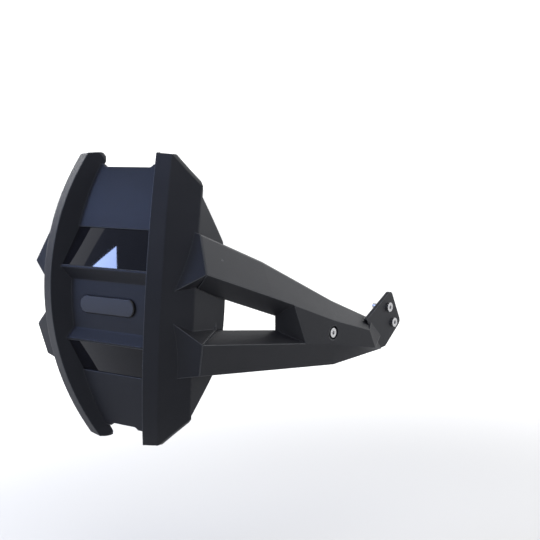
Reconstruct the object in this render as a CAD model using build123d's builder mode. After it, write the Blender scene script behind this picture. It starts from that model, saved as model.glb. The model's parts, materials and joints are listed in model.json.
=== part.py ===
from build123d import *
import os
from math import atan2, cos, degrees, radians, sin, sqrt

# Rear hugger mudguard in millimetres: +X to the right of the bike, +Y ahead, +Z up.
# The origin is midway between the two flange bolts, on the face that seats on the swingarm.
os.makedirs("parts", exist_ok=True)

# The wheel's axle, from the origin, and the origin ahead of the arm's rear apex
axle_inboard = 127.5
axle_above = 40.8
arm_reach = 323.0

# The shield's walls, its centre panel's circle with a centre below the axle, and the lips outside it
wall = 3.0
panel_radius = 372.2
panel_drop = 12.0
lip_proud = 8.8

# The ridge of each side rib: half width, height and stand outside the panel's circle, at three places
ridge_low_half = 49.5
ridge_low_height = -148.3
ridge_low_proud = 9.8
ridge_mid_half = 84.6
ridge_mid_height = 12.0
ridge_mid_proud = 10.8
ridge_top_half = 65.8
ridge_top_height = 150.5
ridge_top_proud = 3.8
ridge_overrun = 5.0

# The rib's section, sideways from the ridge and in towards the axle
band_width = 16.5
band_rise = 6.0
groove_run = 14.0
groove_depth = 18.0
groove_overlap = 4.0
skirt_run = 19.5
skirt_drop = 27.0
side_length = 52.0
ridge_fillet = 2.5
crease_fillet = 2.8

# The shield's outline seen from behind: notches between the rib ends, and the slanted ends of the skirts
panel_top = 137.0
panel_low = -134.0
notch_top_half = 34.0
notch_low_half = 18.0
rib_top_inner_half = 41.4
rib_low_inner_half = 25.4
rib_end_slope = 2.0
skirt_end_run = 64.0
skirt_top_drop = 75.0
skirt_low_rise = 60.0
notch_fillet = 5.0
rib_corner_fillet = 3.0

# The shield's front edge seen from the side: in from the panel's circle, and the heights where it slants
# away to the skirt's crease, which it then follows
side_front_in = 63.2
side_front_half = 62.0
side_top_corner = (39.4, 108.0)
side_low_corner = (35.5, -115.5)
side_end_slope = 0.36

# Heights on the centre panel: the two gloss windows and the lips that shade the badge field
window_top = 74.5
lip_upper_edge = 33.0
lip_upper_foot = 20.0
lip_lower_foot = -31.4
lip_lower_edge = -42.0
window_low = -77.0
lip_edge_fillet = 1.2
lip_foot_fillet = 2.0

# The gloss inserts in their seats
insert_thick = 2.5
insert_sunk = 0.8
insert_gap = 0.3
insert_margin = 2.5
seat_wall = 2.0

# The blank badge between the lips
badge_length = 78.0
badge_height = 19.0
badge_thick = 2.5
badge_centre_height = -5.0
badge_edge = 1.0

# The arm's side face: a tilted plane through the upper beam's apex, in from the panel's circle, and a place
# level with that apex and abreast of the arm bolt, out from the origin
apex_side = 122.5
apex_in = 12.7
apex_height = 34.3
arm_bolt_out = 11.68
arm_lean = 2.73
arm_depth = 20.0
arm_facet_depth = 7.8
arm_wall = 3.0
arm_rim = 4.8

# The arm's outline in that plane, ahead of and above the apex, with its fore ends set back from the origin
crease_end_back = 55.0
lower_ridge_end_back = 42.0
top_end_back = 36.3
bottom_end_back = 19.0
crease_mid = (100.0, -32.1)
crease_fore = (206.0, -68.0)
crease_end = (arm_reach - crease_end_back, -85.0)
lower_ridge_start = (-2.4, -69.6)
lower_ridge_mid = (205.0, -93.5)
lower_ridge_end = (arm_reach - lower_ridge_end_back, -108.0)
top_start = (9.3, 37.3)
top_mid = (101.5, 3.2)
top_fore = (220.0, -49.0)
top_end = (arm_reach - top_end_back, -74.3)
bottom_start = (1.9, -102.8)
bottom_mid = (213.5, -119.5)
bottom_end = (arm_reach - bottom_end_back, -112.5)

# The window between the two beams: its fore end's corners, at its mouth in the side face and at its throat
window_overrun = 45.0
window_mouth_top = (133.2, -42.8)
window_mouth_low = (155.0, -87.1)
window_throat_top = (125.4, -56.7)
window_throat_low = (126.3, -72.0)

# The bulges that carry the beams: sideways, in from the panel's circle, and up from the axle.
# The free side's upper bulge starts higher than the arm's.
upper_tip = (90.4, -1.8, 13.5)
upper_shoulder = (86.0, 77.0)
lower_tip = (87.0, -2.8, -9.4)
lower_shoulder = (76.0, -74.0)
bulge_front_in = 54.2
bulge_front_side = 101.0
bulge_front_thick = 12.0
bulge_gap_reach = 0.55
bulge_gap_inset = 0.4
arm_bulge_shift = (0.0, 0.0, 0.0)
free_bulge_shift = (-3.0, 3.0, 12.0)
bulge_upper_front = (62.0, 32.0, 12.0)
bulge_lower_front = (-60.0, -34.0, -12.0)

# The flange on the swingarm's end, along and across its own slant
flange_slant = 28.7
flange_thick = 4.5
flange_end = 15.0
flange_upper = 25.4
flange_lower_end = -20.0
flange_lower_start = (-27.4, -26.4)
flange_root_low = (-44.0, -19.0)
flange_root_top = (-46.0, 25.4)
flange_corner = 6.0
step_run_top = 14.0
step_run_low = 24.0

# The steel brace inside the arm
brace_thick = 2.5
brace_bolt_margin = 5.0
brace_end_half = 9.0
brace_neck = (-46.0, 2.0)
brace_neck_half = 13.0

# Fasteners
bolt_diameter = 6.0
bolt_shoulder = 6.5
bolt_clearance = 0.3
bolt_spacing = 22.0
bolt_stick_out = 14.0
head_diameter = 10.8
head_height = 2.8
socket_across = 4.0
socket_depth = 2.0
arm_bolt_back = 121.0
arm_bolt_place = (arm_reach - arm_bolt_back, -80.7)
arm_recess_diameter = 15.5
arm_recess_depth = 3.0
arm_boss_diameter = 20.0
nut_across = 10.0
nut_height = 5.0
nut_stick_out = 2.0
screw_diameter = 4.0
screw_head_diameter = 8.0
screw_head_height = 2.4
screw_length = 14.0
screw_boss_diameter = 10.0
screw_in = 46.2
screw_heights = (44.0, -50.0)
screw_seat_sunk = 0.6

AXLE = Vector(-axle_inboard, panel_radius - apex_in - arm_reach, axle_above)
REAR = Plane(origin=AXLE, x_dir=(1, 0, 0), z_dir=(0, -1, 0))
SIDE = Plane(origin=AXLE, x_dir=(0, 1, 0), z_dir=(1, 0, 0))
UPWARD = (Align.CENTER, Align.CENTER, Align.MIN)
DOWNWARD = (Align.CENTER, Align.CENTER, Align.MAX)
beyond = 2 * panel_radius
screw_seat = ridge_mid_half + skirt_run - wall - screw_seat_sunk
screw_locations = [SIDE * Pos(screw_in - panel_radius, height, screw_seat) for height in screw_heights]


def from_axle(side, back, height):
    """A point given sideways from, ahead of and above the axle."""
    return AXLE + Vector(side, back, height)


def from_panel(side, inward, height):
    """A point given sideways from the axle, in from the panel's circle and above the axle."""
    return from_axle(side, inward - panel_radius, height)


def on_circle(proud, height):
    """A point of the side view on a circle about the axle, outside the panel's."""
    return (-sqrt((panel_radius + proud) ** 2 - height**2), height)


def on_panel(height):
    """A point of the side view on the centre panel's circle."""
    return (-sqrt(panel_radius**2 - (height + panel_drop) ** 2), height)


def on_wheel(half, proud, height):
    """A point at a half width and height on a circle about the axle."""
    return from_axle(half, *on_circle(proud, height))


# The ridge is one arc in space, and the rib's section is turned about that arc's own axis
with BuildLine() as ridge_line:
    ThreePointArc(
        on_wheel(ridge_low_half, ridge_low_proud, ridge_low_height),
        on_wheel(ridge_mid_half, ridge_mid_proud, ridge_mid_height),
        on_wheel(ridge_top_half, ridge_top_proud, ridge_top_height),
    )
ridge = ridge_line.edge()
ridge_axis = Axis(ridge.arc_center, ridge.normal())
ridge_turn = degrees(ridge.length / ridge.radius / 2) + ridge_overrun
along = ridge % 0.5
across = (Vector(1, 0, 0) - along * along.X).normalized()
SECTION = Plane(origin=ridge @ 0.5, x_dir=across, z_dir=along * -1)

band_edge = (-band_width, band_rise)
groove_slope = Vector(groove_run, groove_depth).normalized()
groove_foot = (-band_width - groove_run, band_rise - groove_depth)
groove_end = Vector(groove_foot) - groove_slope * groove_overlap
skirt_crease = (skirt_run, -skirt_drop)
side_end = (skirt_run, -skirt_drop - side_length)


def along_ridge(section, mode=Mode.ADD):
    """Carry a section along the whole ridge, both ways from its middle."""
    revolve(section, axis=ridge_axis, revolution_arc=ridge_turn, mode=mode)
    revolve(section, axis=ridge_axis, revolution_arc=-ridge_turn, mode=mode)


def beyond_groove(shift):
    """The section of everything outboard of the groove's wall, moved inboard by a shift."""
    with BuildSketch(SECTION) as section:
        with BuildLine():
            low = Vector(groove_foot) - groove_slope * beyond / 4
            high = Vector(band_edge) + groove_slope * beyond / 4
            Polyline(
                (low.X - shift, low.Y),
                (high.X - shift, high.Y),
                (beyond / 4, high.Y),
                (beyond / 4, low.Y),
                close=True,
            )
        make_face()
    return section.sketch


def slope_slab(start, end, outer, inner, start_gap, end_gap):
    """A slab under the straight slope between two points of the side view, between two depths."""
    run = (Vector(end) - Vector(start)).normalized()
    inward = Vector(run.Y, -run.X)
    inward = inward if inward.X > 0 else inward * -1
    first = Vector(start) + run * start_gap
    last = Vector(end) - run * end_gap
    with BuildSketch(SIDE) as slab:
        with BuildLine():
            Polyline(
                first + inward * outer,
                last + inward * outer,
                last + inward * inner,
                first + inward * inner,
                close=True,
            )
        make_face()
    return slab.sketch


# Centre panel: one section seen from the side, with the two lips, as wide as the groove walls let it
top_edge = on_panel(panel_top + wall)
window_top_edge = on_panel(window_top)
upper_edge = on_circle(lip_proud, lip_upper_edge)
upper_foot = on_panel(lip_upper_foot)
lower_foot = on_panel(lip_lower_foot)
lower_edge = on_circle(lip_proud, lip_lower_edge)
window_low_edge = on_panel(window_low)
low_edge = on_panel(panel_low - wall)
window_slopes = ((window_top_edge, upper_edge), (window_low_edge, lower_edge))
seat_depth = insert_sunk + insert_thick

with BuildPart() as panel:
    with BuildSketch(SIDE) as panel_section:
        with BuildLine():
            RadiusArc(top_edge, window_top_edge, -panel_radius)
            Polyline(window_top_edge, upper_edge, upper_foot)
            RadiusArc(upper_foot, lower_foot, -panel_radius)
            Polyline(lower_foot, lower_edge, window_low_edge)
            RadiusArc(window_low_edge, low_edge, -panel_radius)
            offset(amount=wall, side=Side.LEFT, kind=Kind.INTERSECTION)
        make_face()
        for edge in (upper_edge, lower_edge):
            fillet(panel_section.vertices().sort_by_distance(edge)[0], lip_edge_fillet)
        for foot in (upper_foot, lower_foot):
            fillet(panel_section.vertices().sort_by_distance(foot)[0], lip_foot_fillet)
    extrude(amount=ridge_mid_half)
    for start, end in window_slopes:
        ledge = slope_slab(start, end, insert_sunk, seat_depth + seat_wall, -2 * wall, 0)
        extrude(ledge, amount=ridge_mid_half)
    for start, end in window_slopes:
        seat = slope_slab(start, end, -seat_depth, seat_depth, 0, insert_margin)
        extrude(seat, amount=ridge_mid_half, mode=Mode.SUBTRACT)
    along_ridge(beyond_groove(-wall / 2), mode=Mode.SUBTRACT)
    mirror(about=SIDE)


# Ribs and skirts: groove wall, band, skirt and side in one rounded section, stopped at the panel's back
with BuildPart() as groove_foot_cut:
    with BuildSketch(SIDE):
        with Locations((0, -panel_drop)):
            Circle(panel_radius - wall)
    extrude(amount=beyond / 2, both=True)
    along_ridge(beyond_groove(-2 * wall), mode=Mode.SUBTRACT)

with BuildPart() as rib:
    with BuildSketch(SECTION) as rib_section:
        with BuildLine():
            Line(groove_end, band_edge)
            FilletPolyline(band_edge, (0, 0), skirt_crease, side_end, radius=(ridge_fillet, crease_fillet))
            offset(amount=wall, side=Side.RIGHT, kind=Kind.INTERSECTION)
        make_face()
    along_ridge(rib_section.sketch)
    add(groove_foot_cut.part, mode=Mode.SUBTRACT)

# The arm's tilted side face, and places in it
arm_toe_out = degrees(atan2(arm_bolt_out + axle_inboard - apex_side, arm_bolt_place[0]))
arm_normal = Vector(1, 0, 0).rotate(Axis.Z, -arm_toe_out).rotate(Axis.Y, arm_lean)
arm_ahead = (Vector(0, 1, 0) - arm_normal * arm_normal.Y).normalized()
ARM = Plane(origin=from_panel(apex_side, apex_in, apex_height), x_dir=arm_ahead, z_dir=arm_normal)


def between(first, second, share):
    """The point at a share of the way from one to another, before or past them too."""
    return tuple(a + (b - a) * share for a, b in zip(first, second))


def arm_point(place, depth):
    """A place of the arm's outline at a depth behind its side face."""
    return ARM.offset(-depth).from_local_coords(Vector(*place))


def outline_at(depth, corners, margin=0):
    """A closed outline in the arm's plane at a depth, drawn in by a margin."""
    with BuildSketch(ARM.offset(-depth)) as outline:
        with BuildLine():
            Polyline(*corners, close=True)
        make_face()
        if margin:
            offset(amount=-margin, kind=Kind.INTERSECTION)
    return outline.sketch


facet_share = arm_facet_depth / arm_depth
creases = ((0.0, 0.0), crease_mid, crease_fore, crease_end)
top_line = (top_start, top_mid, top_fore, top_end)
upper_facet = tuple(between(a, b, facet_share) for a, b in zip(creases, top_line))
face_outline = (*creases, lower_ridge_end, lower_ridge_mid, lower_ridge_start)
facet_outline = (*upper_facet, bottom_end, bottom_mid, bottom_start)
back_outline = (*top_line, bottom_end, bottom_mid, bottom_start)


def carried(place, start, end):
    """A place carried as far as from one to another."""
    return tuple(p + b - a for p, a, b in zip(place, start, end))


def window_outline(depth, growth, reach=1.0):
    """The window between the beams at a depth, from past the arm's rear end to a share of its length."""
    share = depth / arm_depth
    rear_top = between((0.0, 0.0), window_mouth_top, -window_overrun / window_mouth_top[0])
    low_run = window_mouth_low[0] - lower_ridge_start[0]
    rear_low = between(lower_ridge_start, window_mouth_low, -window_overrun / low_run)
    top_fore = between(window_mouth_top, window_throat_top, share)
    low_fore = between(window_mouth_low, window_throat_low, share)
    top_rear = carried(top_fore, window_mouth_top, rear_top)
    low_rear = carried(low_fore, window_mouth_low, rear_low)
    corners = (top_rear, between(top_rear, top_fore, reach), between(low_rear, low_fore, reach), low_rear)
    return outline_at(depth, corners, -growth)


with BuildPart() as window:
    loft([window_outline(-wall, 0), window_outline(arm_depth + 2 * wall, 0)], ruled=True)

with BuildPart() as bulge_gap:
    gap_back = window_outline(2 * arm_depth - wall, -bulge_gap_inset, bulge_gap_reach)
    loft([window_outline(-wall, -bulge_gap_inset, bulge_gap_reach), gap_back], ruled=True)

with BuildPart() as window_walls:
    loft([window_outline(-wall, arm_wall), window_outline(arm_depth, arm_wall)], ruled=True)


# Bulges on the skirts, each a gem between its rear facet and a small end on the side face
def gem(ridge_start, ridge_apex, tip, shoulder, front_heights):
    """A bulge from the facet through three points to an end inside the side face."""
    facet_normal = (ridge_start - ridge_apex).cross(tip - ridge_apex)
    shoulder_foot = from_axle(shoulder[0], 0, shoulder[1])
    ahead = (ridge_apex - shoulder_foot).dot(facet_normal) / facet_normal.Y
    inside = shoulder_foot + Vector(0, ahead, 0)
    facet = [ridge_start, ridge_apex, tip, inside]
    front_far, front_apex, front_near = front_heights
    front = [
        from_panel(bulge_front_side, bulge_front_in, front_far),
        from_panel(bulge_front_side, bulge_front_in, front_apex),
        from_panel(bulge_front_side, bulge_front_in, front_near),
        from_panel(bulge_front_side - bulge_front_thick, bulge_front_in, front_apex),
    ]
    flats = [facet, front]
    for corner in range(len(facet)):
        flats.append([facet[corner - 1], facet[corner], front[corner]])
        flats.append([facet[corner - 1], front[corner], front[corner - 1]])
    add(Solid(Shell([Face(Wire.make_polygon(flat)) for flat in flats])))


def bulge_pair(shift, notched=True):
    """Both bulges of one side, the upper one's outer corner shifted, cut away at the window or whole."""
    with BuildSketch(SECTION) as inside_skirt:
        with BuildLine():
            Polyline(
                (-ridge_mid_half, 0),
                (-wall, -wall / 2),
                (skirt_crease[0] - wall / 2, skirt_crease[1] - wall / 2),
                (side_end[0] - wall / 2, side_end[1] * 2),
                (-ridge_mid_half, side_end[1] * 2),
                close=True,
            )
        make_face()
    with BuildPart() as pair:
        upper_start = arm_point(top_start, arm_depth) + Vector(*shift)
        lower_start = arm_point(bottom_start, arm_facet_depth)
        lower_apex = arm_point(lower_ridge_start, 0)
        shoulder = (upper_shoulder[0], upper_shoulder[1] + shift[2])
        gem(upper_start, ARM.origin, from_panel(*upper_tip), shoulder, bulge_upper_front)
        gem(lower_start, lower_apex, from_panel(*lower_tip), lower_shoulder, bulge_lower_front)
        if notched:
            add(bulge_gap.part, mode=Mode.SUBTRACT)
        along_ridge(inside_skirt.sketch, mode=Mode.SUBTRACT)
    return pair.part


# The shield: panel, ribs and bulges, mirrored and trimmed to its outlines from behind and from the side
with BuildPart() as shield:
    add(rib.part)
    mirror(about=SIDE)
    add(bulge_pair(arm_bulge_shift))
    mirror(bulge_pair(free_bulge_shift), about=SIDE)
    add(panel.part)
    with BuildSketch(REAR) as rear_outline:
        with BuildLine():
            Polyline(
                (0, panel_top),
                (notch_top_half, panel_top),
                (rib_top_inner_half, ridge_top_height + rib_end_slope),
                (ridge_top_half, ridge_top_height),
                (ridge_top_half + skirt_end_run, ridge_top_height - skirt_top_drop),
                (ridge_low_half + skirt_end_run, ridge_low_height + skirt_low_rise),
                (ridge_low_half, ridge_low_height),
                (rib_low_inner_half, ridge_low_height - rib_end_slope),
                (notch_low_half, panel_low),
                (0, panel_low),
            )
            mirror(about=Plane.YZ)
        make_face()
        ends = rear_outline.vertices().filter_by(lambda v: v.Y > panel_top or v.Y < panel_low)
        fillet(ends, rib_corner_fillet)
        notches = rear_outline.vertices().filter_by(lambda v: v.X != 0 and v.Y in (panel_top, panel_low))
        fillet(notches, notch_fillet)
    extrude(amount=beyond, mode=Mode.INTERSECT)
    side_front = side_front_in - panel_radius
    top_corner = (side_top_corner[0] - panel_radius, side_top_corner[1])
    low_corner = (side_low_corner[0] - panel_radius, side_low_corner[1])
    with BuildSketch(SIDE):
        with BuildLine():
            Polyline(
                (top_corner[0] + side_end_slope * beyond, top_corner[1] + beyond),
                top_corner,
                (side_front, side_front_half),
                (side_front, -side_front_half),
                low_corner,
                (low_corner[0] + side_end_slope * beyond, low_corner[1] - beyond),
                (-beyond, low_corner[1] - beyond),
                (-beyond, top_corner[1] + beyond),
                close=True,
            )
        make_face()
    extrude(amount=beyond, both=True, mode=Mode.INTERSECT)
    with Locations(*screw_locations):
        Cylinder(screw_diameter / 2 + bolt_clearance, side_length, align=UPWARD, mode=Mode.SUBTRACT)
        head_room = screw_head_diameter / 2 + bolt_clearance
        Cylinder(head_room, side_length, align=DOWNWARD, mode=Mode.SUBTRACT)
shield.part.label = "shield"
export_step(shield.part, "parts/shield.step")


# Gloss inserts in the two windows, a gap short of their seats' sides
def insert(slope):
    """A gloss plate on the ledge of a window's slope."""
    plate = slope_slab(*slope, insert_sunk, seat_depth, insert_gap, insert_margin + insert_gap)
    extrude(plate, amount=ridge_mid_half)
    along_ridge(beyond_groove(insert_gap), mode=Mode.SUBTRACT)
    mirror(about=SIDE)


with BuildPart() as upper_insert:
    insert(window_slopes[0])
upper_insert.part.label = "upper_insert"
export_step(upper_insert.part, "parts/upper_insert.step")

with BuildPart() as lower_insert:
    insert(window_slopes[1])
lower_insert.part.label = "lower_insert"
export_step(lower_insert.part, "parts/lower_insert.step")

# Blank badge, curved to the panel
with BuildPart() as badge:
    with BuildSketch(SIDE):
        with Locations((0, -panel_drop)):
            Circle(panel_radius + badge_thick)
            Circle(panel_radius, mode=Mode.SUBTRACT)
    extrude(amount=badge_length, both=True)
    with BuildSketch(REAR):
        with Locations((0, badge_centre_height)):
            SlotOverall(badge_length, badge_height)
    extrude(amount=beyond, mode=Mode.INTERSECT)
    chamfer(badge.faces().sort_by(Axis.Y)[0].edges(), badge_edge)
badge.part.label = "badge"
export_step(badge.part, "parts/badge.step")

# The flange on the swingarm's end, on the brace's front face
flange_x_dir = (0, cos(radians(flange_slant)), sin(radians(flange_slant)))
FLANGE = Plane(origin=(brace_thick, 0, 0), x_dir=flange_x_dir, z_dir=(1, 0, 0))
bolt_places = ((0, bolt_spacing / 2), (0, -bolt_spacing / 2))
arm_bolt_centre = arm_point(arm_bolt_place, 0)
arm_bolt_floor = arm_bolt_centre.X - arm_recess_depth
ARM_BOLT = Plane(origin=(arm_bolt_floor, arm_bolt_centre.Y, arm_bolt_centre.Z), z_dir=(1, 0, 0))

# The steel brace: one plate from the flange bolts to the arm bolt, behind the flange
brace_end = FLANGE.to_local_coords(arm_bolt_centre)
hole_places = (*bolt_places, (brace_end.X, brace_end.Y))

with BuildPart() as brace:
    with BuildSketch(FLANGE):
        with Locations(*bolt_places):
            Circle(bolt_diameter / 2 + brace_bolt_margin)
        with Locations(brace_neck):
            Circle(brace_neck_half)
        make_hull()
    with BuildSketch(FLANGE):
        with Locations(brace_neck):
            Circle(brace_neck_half)
        with Locations((brace_end.X, brace_end.Y)):
            Circle(brace_end_half)
        make_hull()
    extrude(amount=-brace_thick)
    with BuildSketch(FLANGE):
        with Locations(*hole_places):
            Circle(bolt_shoulder / 2 + bolt_clearance)
    extrude(amount=-brace_thick, mode=Mode.SUBTRACT)
brace.part.label = "brace"
export_step(brace.part, "parts/brace.step")


def step_section(place, run):
    """The section of the step down from the arm's side face to the flange, at one end of their bend."""
    corner = arm_point(place, 0)
    bend = arm_point(lower_ridge_end, 0) - arm_point(crease_end, 0)
    ahead = Vector(0, -bend.Z, bend.Y).normalized() * run
    foot = Vector(brace_thick, corner.Y, corner.Z)
    thickness = Vector(flange_thick, 0, 0)
    return Face(Wire.make_polygon([corner, foot, foot + ahead, foot + ahead + thickness]))


# The arm: a channel open towards the tyre, with the window's walls, the flange and the bosses inside it
with BuildPart() as arm_blank:
    face = outline_at(0, face_outline)
    facets = outline_at(arm_facet_depth, facet_outline)
    back = outline_at(arm_depth, back_outline)
    loft([face, facets, back], ruled=True)

with BuildPart() as arm_frame:
    add(window_walls.part)
    with Locations(*screw_locations):
        Cylinder(screw_boss_diameter / 2, 2 * arm_depth, align=UPWARD)
    with Locations(Plane(origin=(brace_thick, arm_bolt_centre.Y, arm_bolt_centre.Z), z_dir=(1, 0, 0))):
        Cylinder(arm_boss_diameter / 2, arm_depth, align=UPWARD)
    add(arm_blank.part, mode=Mode.INTERSECT)

with BuildPart() as arm:
    add(arm_blank.part)
    inner_face = outline_at(arm_wall, face_outline, arm_wall)
    inner_facets = outline_at(arm_facet_depth + arm_wall, facet_outline, arm_wall)
    inner_back = outline_at(arm_depth, back_outline, arm_rim)
    loft([inner_face, inner_facets, inner_back], ruled=True, mode=Mode.SUBTRACT)
    add(arm_frame.part)
    add(window.part, mode=Mode.SUBTRACT)
    with BuildSketch(FLANGE) as flange_outline:
        with BuildLine():
            Polyline(
                (flange_end, flange_upper),
                (flange_end, flange_lower_end),
                flange_lower_start,
                flange_root_low,
                flange_root_top,
                close=True,
            )
        make_face()
        fillet(flange_outline.vertices().sort_by(Axis.X)[-2:], flange_corner)
    extrude(amount=flange_thick)
    step_ends = [step_section(crease_end, step_run_top), step_section(lower_ridge_end, step_run_low)]
    loft(step_ends, ruled=True)
    with Locations(FLANGE):
        with Locations(*bolt_places):
            Cylinder(bolt_shoulder / 2 + bolt_clearance, flange_thick, align=UPWARD, mode=Mode.SUBTRACT)
    with Locations(ARM_BOLT):
        Cylinder(arm_recess_diameter / 2, arm_depth, align=UPWARD, mode=Mode.SUBTRACT)
        Cylinder(bolt_shoulder / 2 + bolt_clearance, arm_depth, align=DOWNWARD, mode=Mode.SUBTRACT)
    with Locations(*screw_locations):
        Cylinder(screw_diameter / 2, screw_length, align=UPWARD, mode=Mode.SUBTRACT)
    add(bulge_pair(arm_bulge_shift, notched=False), mode=Mode.SUBTRACT)
    add(shield.part, mode=Mode.SUBTRACT)
    add(brace.part, mode=Mode.SUBTRACT)
arm.part.label = "arm"
export_step(arm.part, "parts/arm.step")


# Fasteners: shouldered bolts with low round heads, the arm bolt's nut, and screws from inside the shield
def bolt(seat, shoulder_length, thread_length):
    """A bolt whose head sits on a plane, with its shoulder and then its thread behind it."""
    with Locations(seat):
        Cylinder(head_diameter / 2, head_height, align=UPWARD)
        Cylinder(bolt_shoulder / 2, shoulder_length, align=DOWNWARD)
    with Locations(seat.offset(-shoulder_length)):
        Cylinder(bolt_diameter / 2, thread_length, align=DOWNWARD)
    with BuildSketch(seat.offset(head_height)) as socket:
        RegularPolygon(socket_across / 2, 6, major_radius=False)
    extrude(socket.sketch, amount=-socket_depth, mode=Mode.SUBTRACT)


with BuildPart() as flange_bolts:
    for place in bolt_places:
        head_place = FLANGE.offset(flange_thick).from_local_coords(Vector(*place))
        bolt(Plane(origin=head_place, z_dir=FLANGE.z_dir), flange_thick + brace_thick, bolt_stick_out)
flange_bolts.part.label = "flange_bolts"
export_step(flange_bolts.part, "parts/flange_bolts.step")

with BuildPart() as arm_bolt:
    bolt(ARM_BOLT, arm_bolt_floor, nut_height + nut_stick_out)
arm_bolt.part.label = "arm_bolt"
export_step(arm_bolt.part, "parts/arm_bolt.step")

with BuildPart() as arm_nut:
    with BuildSketch(Plane.YZ):
        with Locations((arm_bolt_centre.Y, arm_bolt_centre.Z)):
            RegularPolygon(nut_across / 2, 6, major_radius=False)
            Circle(bolt_diameter / 2, mode=Mode.SUBTRACT)
    extrude(amount=-nut_height)
arm_nut.part.label = "arm_nut"
export_step(arm_nut.part, "parts/arm_nut.step")

with BuildPart() as joint_screws:
    with Locations(*screw_locations):
        Cylinder(screw_diameter / 2, screw_length, align=UPWARD)
        Cylinder(screw_head_diameter / 2, screw_head_height, align=DOWNWARD)
joint_screws.part.label = "joint_screws"
export_step(joint_screws.part, "parts/joint_screws.step")
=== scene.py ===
import json
from math import radians

import bpy
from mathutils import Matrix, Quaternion, Vector


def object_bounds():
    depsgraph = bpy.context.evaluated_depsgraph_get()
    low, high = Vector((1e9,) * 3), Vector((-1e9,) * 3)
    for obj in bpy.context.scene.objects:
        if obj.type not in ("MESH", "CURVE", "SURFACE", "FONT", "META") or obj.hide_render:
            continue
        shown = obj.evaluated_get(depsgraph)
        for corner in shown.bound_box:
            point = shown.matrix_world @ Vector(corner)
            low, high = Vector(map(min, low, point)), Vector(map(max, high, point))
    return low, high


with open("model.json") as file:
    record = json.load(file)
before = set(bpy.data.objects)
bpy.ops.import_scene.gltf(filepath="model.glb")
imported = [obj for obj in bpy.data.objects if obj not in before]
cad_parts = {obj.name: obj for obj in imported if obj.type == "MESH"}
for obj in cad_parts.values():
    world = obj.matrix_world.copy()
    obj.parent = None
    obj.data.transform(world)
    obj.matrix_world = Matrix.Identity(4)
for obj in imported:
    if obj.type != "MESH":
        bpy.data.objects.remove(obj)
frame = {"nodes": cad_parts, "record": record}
cad_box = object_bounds()
nodes = frame["nodes"]

# The photograph's viewpoint, in metres and degrees; sensor and lens in millimetres
CAMERA_PLACE = (0.71654, -1.16754, 0.19670)
CAMERA_TILT = 83.98
CAMERA_TURN = 37.33
SENSOR_WIDTH = 36.0
LENS = 76.72

# The floor that the wheel would stand on, which glows further away from the part, in metres
FLOOR_HEIGHT = -0.274
FLOOR_HALF = 12.0
PALE_COLOURS = ((0.54, 0.53, 0.50, 1.0), (0.52, 0.51, 0.48, 1.0))
PALE_PITCH = 0.6
PALE_ROUGHNESS = 0.9
GLOW_COLOUR = (1.0, 1.0, 1.0, 1.0)
GLOW_REACH = (0.3, 1.5)
FLOOR_GLOW = 0.6

# A round backdrop at the floor's edge, which only the camera sees
BACKDROP_HEIGHT = 8.0
BACKDROP_SIDES = 96
BACKDROP_GLOW = 1.0

# The studio's light by direction: pale ahead of the bike, dim and bluish behind it, pale overhead
AHEAD_COLOUR = (1.03, 1.03, 1.03, 1.0)
BEHIND_COLOUR = (0.38, 0.43, 0.58, 1.0)
OVERHEAD_COLOUR = (0.9, 0.9, 0.92, 1.0)
BEHIND_TO_AHEAD = (0.1, 0.6)
SIDE_TO_OVERHEAD = (0.5, 0.95)

# Soft lamps: name, place from the part's middle, size, turn about its axis, watts and colour
NEUTRAL = (1.0, 1.0, 1.0)
SKY_BLUE = (0.62, 0.82, 1.5)
LAMPS = (
    ("top_rear", (0.4, -0.7, 1.3), 1.0, 0.0, 4.0, NEUTRAL),
    ("left_rear", (-1.71, -1.67, 0.94), 0.4, 50.0, 15.0, SKY_BLUE),
    ("left", (-2.08, -1.06, 1.0), 0.6, 0.0, 1.2, NEUTRAL),
    ("left_rear_top", (-0.8, -1.0, 1.7), 1.0, 0.0, 5.0, SKY_BLUE),
    ("left_rear_low", (-1.6, -1.6, 0.1), 0.8, 0.0, 5.0, SKY_BLUE),
    ("rear", (0.2, -2.1, 0.9), 0.8, 0.0, 7.0, NEUTRAL),
    ("right", (2.2, 0.5, 0.7), 1.0, 0.0, 20.0, NEUTRAL),
    ("fore_right", (1.0, 1.5, 0.6), 1.0, 0.0, 9.0, NEUTRAL),
    ("fore", (0.0, 2.2, 1.2), 1.0, 0.0, 8.0, NEUTRAL),
    ("left_fore", (-2.0, 0.7, 0.6), 1.0, 0.0, 34.0, NEUTRAL),
)

# Fineness of the noise, and rays for each soft edge
NOISE_DETAIL = 3.0
EDGE_SAMPLES = 8

# Moulded plastic: mottle, grain, soft edges and a painted highlight along the outer edges, in metres
PLASTIC_COLOURS = ((0.005, 0.005, 0.0065, 1.0), (0.008, 0.008, 0.010, 1.0))
PLASTIC_ROUGHNESS = (0.42, 0.56)
PLASTIC_SPECULAR = 0.19
PLASTIC_TINT = (0.87, 0.92, 1.0, 1.0)
MOTTLE_PITCH = 0.03
GRAIN_PITCH = 0.0007
GRAIN_DETAIL = 2.0
GRAIN_DEPTH = 0.00005
PLASTIC_EDGE = 0.0018
# Painted highlight along the outer edges: its lighter colour, and how far the soft edge must turn to
# get it
EDGE_HIGHLIGHT_COLOUR = (0.05, 0.052, 0.055, 1.0)
EDGE_HIGHLIGHT_TURN = (0.985, 0.9)
CORNER_REACH = 0.004
CORNER_CLEAR = 0.8

# Gloss inserts: a trace of haze, and a dome across and along, in metres
GLOSS_COLOURS = ((0.004, 0.004, 0.005, 1.0), (0.006, 0.006, 0.008, 1.0))
GLOSS_ROUGHNESS = (0.02, 0.05)
GLOSS_SPECULAR = 0.2
GLOSS_PITCH = 0.012
DOME_ACROSS = 0.0042
DOME_ALONG = 0.0004

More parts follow.
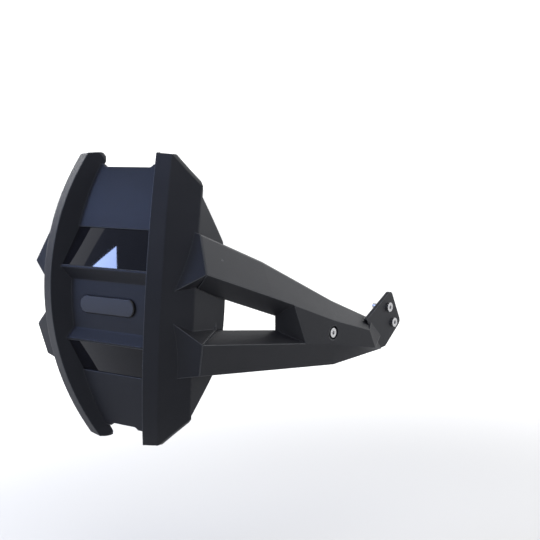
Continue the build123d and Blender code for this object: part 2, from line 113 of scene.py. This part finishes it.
# Badge: haze and soft edges, in metres
BADGE_COLOURS = ((0.006, 0.006, 0.007, 1.0), (0.009, 0.009, 0.0105, 1.0))
BADGE_ROUGHNESS = (0.26, 0.34)
BADGE_SPECULAR = 0.25
BADGE_PITCH = 0.02
BADGE_EDGE = 0.0006

# Stainless steel: brushed marks and soft edges, in metres
STEEL_COLOURS = ((0.3, 0.3, 0.31, 1.0), (0.52, 0.52, 0.53, 1.0))
STEEL_ROUGHNESS = (0.2, 0.36)
STEEL_PITCH = 0.0012
STEEL_EDGE = 0.0004

# Powder coat: orange peel and soft edges, in metres
COAT_COLOURS = ((0.014, 0.014, 0.015, 1.0), (0.022, 0.022, 0.023, 1.0))
COAT_ROUGHNESS = (0.42, 0.55)
PEEL_PITCH = 0.0018
PEEL_DEPTH = 0.00008
COAT_EDGE = 0.0006


def new_material(name):
    """A node material, its node tree and its shader."""
    material = bpy.data.materials.new(name)
    material.use_nodes = True
    tree = material.node_tree
    return material, tree, tree.nodes["Principled BSDF"]


def add_node(tree, kind, **values):
    """A node with its sockets and properties set by name."""
    node = tree.nodes.new(kind)
    for name, value in values.items():
        if name in node.inputs:
            node.inputs[name].default_value = value
        else:
            setattr(node, name, value)
    return node


def feed(tree, socket, value):
    """A socket linked to another one, or set to a plain value."""
    if isinstance(value, bpy.types.NodeSocket):
        tree.links.new(value, socket)
    else:
        socket.default_value = value


def noise(tree, pitch, detail=NOISE_DETAIL):
    """Noise with features about a pitch across, in the object's own metres."""
    place = add_node(tree, "ShaderNodeTexCoord")
    texture = add_node(tree, "ShaderNodeTexNoise", Scale=1.0 / pitch, Detail=detail)
    tree.links.new(place.outputs["Object"], texture.inputs["Vector"])
    return texture.outputs["Fac"]


def carry(tree, value, start=0.0, end=1.0, low=0.0, high=1.0, **options):
    """A value carried from the range start to end to the range low to high."""
    node = add_node(tree, "ShaderNodeMapRange", **options)
    node.inputs["From Min"].default_value = start
    node.inputs["From Max"].default_value = end
    node.inputs["To Min"].default_value = low
    node.inputs["To Max"].default_value = high
    tree.links.new(value, node.inputs["Value"])
    return node.outputs["Result"]


def combine(tree, operation, first, second):
    """Two values put together by a sum, product or power."""
    node = add_node(tree, "ShaderNodeMath", operation=operation)
    feed(tree, node.inputs[0], first)
    feed(tree, node.inputs[1], second)
    return node.outputs["Value"]


def mix_colours(tree, share, first, second):
    """A colour between two, by a share."""
    node = add_node(tree, "ShaderNodeMix", data_type="RGBA")
    sockets = [socket for socket in node.inputs if socket.type == "RGBA"]
    feed(tree, sockets[0], first)
    feed(tree, sockets[1], second)
    tree.links.new(share, node.inputs["Factor"])
    return next(socket for socket in node.outputs if socket.type == "RGBA")


def bump(tree, height, depth, normal=None):
    """A bump of a depth in metres, laid on another normal where there is one."""
    node = add_node(tree, "ShaderNodeBump", Strength=1.0, Distance=depth)
    tree.links.new(height, node.inputs["Height"])
    if normal:
        tree.links.new(normal, node.inputs["Normal"])
    return node.outputs["Normal"]


def soft_edges(tree, radius):
    """Normals that round the edges off."""
    node = add_node(tree, "ShaderNodeBevel", samples=EDGE_SAMPLES, Radius=radius)
    return node.outputs["Normal"]


def painted_edge_highlight(tree, normal):
    """Share of painted edge highlight: 1 where the soft edge turns and no inner corner is near, else
    0.
    """
    surface = add_node(tree, "ShaderNodeNewGeometry")
    turn = add_node(tree, "ShaderNodeVectorMath", operation="DOT_PRODUCT")
    tree.links.new(surface.outputs["Normal"], turn.inputs[0])
    tree.links.new(normal, turn.inputs[1])
    edge = carry(tree, turn.outputs["Value"], *EDGE_HIGHLIGHT_TURN)
    corners = add_node(tree, "ShaderNodeAmbientOcclusion", samples=EDGE_SAMPLES, Distance=CORNER_REACH)
    clear = carry(tree, corners.outputs["AO"], start=CORNER_CLEAR)
    return combine(tree, "MULTIPLY", edge, clear)


def moulded_plastic():
    """Finely textured black plastic, a little bluish, with soft moulded edges and a painted highlight
    along them.
    """
    material, tree, shader = new_material("textured_black_plastic")
    grain = noise(tree, GRAIN_PITCH, GRAIN_DETAIL)
    normal = soft_edges(tree, PLASTIC_EDGE)
    colour = mix_colours(tree, noise(tree, MOTTLE_PITCH), *PLASTIC_COLOURS)
    # Painted highlight: a lighter colour mixed in along the outer edges, away from inner corners
    colour = mix_colours(tree, painted_edge_highlight(tree, normal), colour, EDGE_HIGHLIGHT_COLOUR)
    tree.links.new(colour, shader.inputs["Base Color"])
    tree.links.new(carry(tree, grain, 0.0, 1.0, *PLASTIC_ROUGHNESS), shader.inputs["Roughness"])
    tree.links.new(bump(tree, grain, GRAIN_DEPTH, normal), shader.inputs["Normal"])
    shader.inputs["Specular IOR Level"].default_value = PLASTIC_SPECULAR
    shader.inputs["Specular Tint"].default_value = PLASTIC_TINT
    return material


def dome(tree, node):
    """Height of a shallow dome over a flat piece, 0 in the middle and falling towards its edges."""
    corners = [Vector(corner) for corner in node.bound_box]
    place = add_node(tree, "ShaderNodeTexCoord")
    axes = add_node(tree, "ShaderNodeSeparateXYZ")
    tree.links.new(place.outputs["Object"], axes.inputs["Vector"])
    falls = []
    for axis, depth in (("X", DOME_ACROSS), ("Z", DOME_ALONG)):
        values = [getattr(corner, axis.lower()) for corner in corners]
        share = carry(tree, axes.outputs[axis], min(values), max(values), low=-1.0, clamp=False)
        square = combine(tree, "POWER", share, 2.0)
        falls.append(combine(tree, "MULTIPLY", square, -depth))
    return combine(tree, "ADD", *falls)


def gloss_plastic(node):
    """Polished black plastic with a slight dome and a trace of haze."""
    material, tree, shader = new_material("gloss_black_" + node.name)
    haze = noise(tree, GLOSS_PITCH)
    tree.links.new(mix_colours(tree, haze, *GLOSS_COLOURS), shader.inputs["Base Color"])
    tree.links.new(carry(tree, haze, 0.0, 1.0, *GLOSS_ROUGHNESS), shader.inputs["Roughness"])
    tree.links.new(bump(tree, dome(tree, node), 1.0), shader.inputs["Normal"])
    shader.inputs["Specular IOR Level"].default_value = GLOSS_SPECULAR
    return material


def satin_plastic():
    """Satin black plastic of the blank badge."""
    material, tree, shader = new_material("satin_black_plastic")
    haze = noise(tree, BADGE_PITCH)
    tree.links.new(mix_colours(tree, haze, *BADGE_COLOURS), shader.inputs["Base Color"])
    tree.links.new(carry(tree, haze, 0.0, 1.0, *BADGE_ROUGHNESS), shader.inputs["Roughness"])
    tree.links.new(soft_edges(tree, BADGE_EDGE), shader.inputs["Normal"])
    shader.inputs["Specular IOR Level"].default_value = BADGE_SPECULAR
    return material


def stainless():
    """Stainless steel of the fasteners, lightly brushed."""
    material, tree, shader = new_material("stainless_steel")
    brushed = noise(tree, STEEL_PITCH)
    tree.links.new(mix_colours(tree, brushed, *STEEL_COLOURS), shader.inputs["Base Color"])
    tree.links.new(carry(tree, brushed, 0.0, 1.0, *STEEL_ROUGHNESS), shader.inputs["Roughness"])
    tree.links.new(soft_edges(tree, STEEL_EDGE), shader.inputs["Normal"])
    shader.inputs["Metallic"].default_value = 1.0
    return material


def powder_coat():
    """Black powder coat of the steel brace, with its orange-peel surface."""
    material, tree, shader = new_material("black_powder_coat")
    peel = noise(tree, PEEL_PITCH)
    normal = soft_edges(tree, COAT_EDGE)
    tree.links.new(mix_colours(tree, peel, *COAT_COLOURS), shader.inputs["Base Color"])
    tree.links.new(carry(tree, peel, 0.0, 1.0, *COAT_ROUGHNESS), shader.inputs["Roughness"])
    tree.links.new(bump(tree, peel, PEEL_DEPTH, normal), shader.inputs["Normal"])
    return material


def pale_material(name, brightness):
    """Pale surface with hardly any variation, which glows away from its middle."""
    material, tree, shader = new_material(name)
    colour = mix_colours(tree, noise(tree, PALE_PITCH), *PALE_COLOURS)
    tree.links.new(colour, shader.inputs["Base Color"])
    place = add_node(tree, "ShaderNodeTexCoord")
    reach = add_node(tree, "ShaderNodeVectorMath", operation="LENGTH")
    tree.links.new(place.outputs["Object"], reach.inputs[0])
    distance = reach.outputs["Value"]
    glow = carry(tree, distance, *GLOW_REACH, high=brightness, interpolation_type="SMOOTHSTEP")
    tree.links.new(glow, shader.inputs["Emission Strength"])
    shader.inputs["Emission Color"].default_value = GLOW_COLOUR
    shader.inputs["Roughness"].default_value = PALE_ROUGHNESS
    return material


def studio_light():
    """Soft light that changes with its direction."""
    world = bpy.data.worlds.new("studio")
    world.use_nodes = True
    tree = world.node_tree
    direction = add_node(tree, "ShaderNodeTexCoord")
    axes = add_node(tree, "ShaderNodeSeparateXYZ")
    tree.links.new(direction.outputs["Generated"], axes.inputs["Vector"])
    colour = BEHIND_COLOUR
    turns = (("Y", BEHIND_TO_AHEAD, AHEAD_COLOUR), ("Z", SIDE_TO_OVERHEAD, OVERHEAD_COLOUR))
    for axis, span, other in turns:
        share = carry(tree, axes.outputs[axis], *span, interpolation_type="SMOOTHSTEP")
        colour = mix_colours(tree, share, colour, other)
    tree.links.new(colour, tree.nodes["Background"].inputs["Color"])
    return world


def area_light(name, place, target, size, turn, power, colour):
    """A soft square light that faces a point."""
    light = bpy.data.lights.new(name, "AREA")
    light.size = size
    light.energy = power
    light.color = colour
    lamp = bpy.data.objects.new(name, light)
    lamp.location = place
    lamp.visible_camera = False
    facing = (Vector(target) - Vector(place)).to_track_quat("-Z", "Y")
    lamp.rotation_euler = (facing @ Quaternion((0.0, 0.0, 1.0), radians(turn))).to_euler()
    bpy.context.scene.collection.objects.link(lamp)


# Finishes by the record's material slot; each gloss insert has one of its own, domed over its box
finishes = {
    "shell": moulded_plastic(),
    "badge": satin_plastic(),
    "brace": powder_coat(),
    "fastener": stainless(),
}
for subpart in frame["record"]["subparts"]:
    node = nodes[subpart["node"]]
    finish = finishes.get(subpart["material_slot"])
    node.data.materials.clear()
    node.data.materials.append(finish or gloss_plastic(node))

# Studio: a pale floor and backdrop, soft light from all round and soft lamps
bpy.ops.mesh.primitive_plane_add(size=2 * FLOOR_HALF, location=(0, 0, FLOOR_HEIGHT))
floor = bpy.context.object
floor.name = "floor"
floor.data.materials.append(pale_material("pale_floor", FLOOR_GLOW))

bpy.ops.mesh.primitive_cylinder_add(
    vertices=BACKDROP_SIDES,
    radius=FLOOR_HALF,
    depth=BACKDROP_HEIGHT,
    end_fill_type="NOTHING",
    location=(0, 0, FLOOR_HEIGHT + BACKDROP_HEIGHT / 2),
)
backdrop = bpy.context.object
backdrop.name = "backdrop"
backdrop.data.materials.append(pale_material("pale_backdrop", BACKDROP_GLOW))
backdrop.visible_diffuse = False
backdrop.visible_glossy = False
backdrop.visible_transmission = False
backdrop.visible_shadow = False

bpy.context.scene.world = studio_light()
bpy.context.scene.view_settings.view_transform = "Standard"

low, high = cad_box
middle = (low + high) / 2
for name, place, size, turn, power, colour in LAMPS:
    area_light(name, middle + Vector(place), middle, size, turn, power, colour)

camera_data = bpy.data.cameras.new("viewpoint")
camera_data.sensor_width = SENSOR_WIDTH
camera_data.lens = LENS
camera = bpy.data.objects.new("viewpoint", camera_data)
camera.location = CAMERA_PLACE
camera.rotation_euler = (radians(CAMERA_TILT), 0, radians(CAMERA_TURN))
bpy.context.scene.collection.objects.link(camera)
bpy.context.scene.camera = camera
